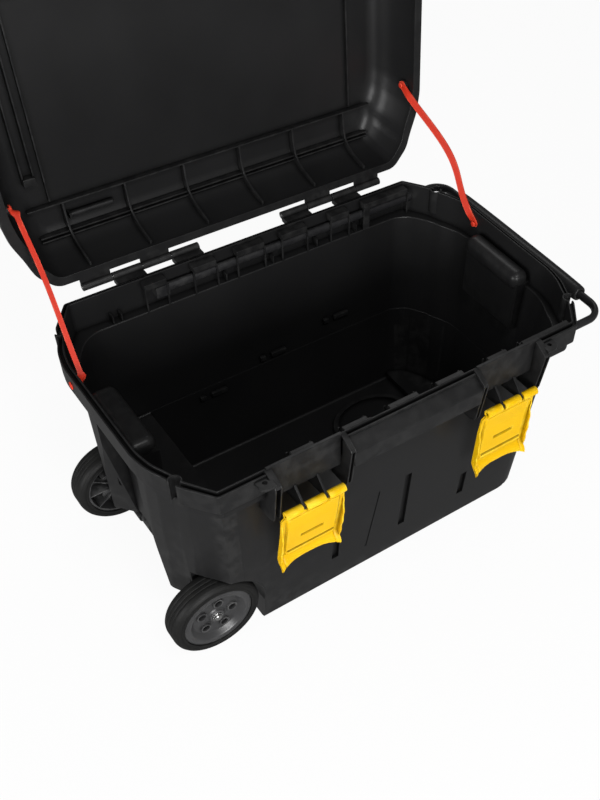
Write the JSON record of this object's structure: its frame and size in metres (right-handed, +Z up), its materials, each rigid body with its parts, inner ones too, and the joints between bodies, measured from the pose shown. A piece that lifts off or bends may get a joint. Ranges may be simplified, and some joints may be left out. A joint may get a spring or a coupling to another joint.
{
  "type": "rolling trunk",
  "caption": "Black wheeled plastic trunk with a strap-held hinged lid, yellow flip latches and a pull-out handle.",
  "frame": {"origin": "on the floor, on the flat underside of the tub, under the middle of its rim", "axes": "+Z up, +X to the pull handle, -X to the wheels, -Y to the latches, +Y to the lid's hinge"},
  "size_m": [0.779, 0.6117, 0.8623],
  "materials": {
    "black_plastic": "satin",
    "yellow_plastic": "satin",
    "red_plastic": "satin",
    "grey_plastic": "satin",
    "tyre": "matte",
    "steel": "bright"
  },
  "bodies": {
    "tub": {"tub": "black_plastic", "hinge_pin_left": "steel", "hinge_pin_right": "steel", "latch_pin_left": "steel", "latch_pin_right": "steel", "strap_left": "red_plastic", "strap_right": "red_plastic", "strap_rivet_tub_left": "red_plastic", "strap_rivet_tub_right": "red_plastic", "axle": "steel", "axle_cap_front": "steel", "axle_cap_rear": "steel", "wheel_washer_front": "steel", "wheel_washer_rear": "steel"},
    "lid": {"lid": "black_plastic", "strap_rivet_lid_left": "red_plastic", "strap_rivet_lid_right": "red_plastic"},
    "latch_left": {"latch_left": "yellow_plastic"},
    "latch_right": {"latch_right": "yellow_plastic"},
    "handle": {"handle_frame": "black_plastic", "handle_grip": "black_plastic", "handle_stop_front": "black_plastic", "handle_stop_rear": "black_plastic"},
    "wheel_front": {"wheel_hub_front": "grey_plastic", "tyre_front": "tyre"},
    "wheel_rear": {"wheel_hub_rear": "grey_plastic", "tyre_rear": "tyre"}
  },
  "joints": [
    {"name": "lid_hinge", "type": "hinge", "parent": "tub", "child": "lid", "pos_m": [0, 0.24, 0.3955], "axis": [1, 0, 0], "range_deg": [0, 94], "deforming": ["strap_left", "strap_right"]},
    {"name": "latch_left_hinge", "type": "hinge", "parent": "tub", "child": "latch_left", "pos_m": [-0.1745, -0.24, 0.3175], "axis": [-1, 0, 0], "range_deg": [0, 180]},
    {"name": "latch_right_hinge", "type": "hinge", "parent": "tub", "child": "latch_right", "pos_m": [0.1745, -0.24, 0.3175], "axis": [-1, 0, 0], "range_deg": [0, 180]},
    {"name": "handle_slide", "type": "slide", "parent": "tub", "child": "handle", "axis": [1, 0, 0], "range_m": [0, 0.36]},
    {"name": "wheel_front_spin", "type": "hinge", "parent": "tub", "child": "wheel_front", "pos_m": [-0.3115, -0.16, 0.0731], "axis": [0, 1, 0], "continuous": true},
    {"name": "wheel_rear_spin", "type": "hinge", "parent": "tub", "child": "wheel_rear", "pos_m": [-0.3115, 0.16, 0.0731], "axis": [0, 1, 0], "continuous": true}
  ]
}
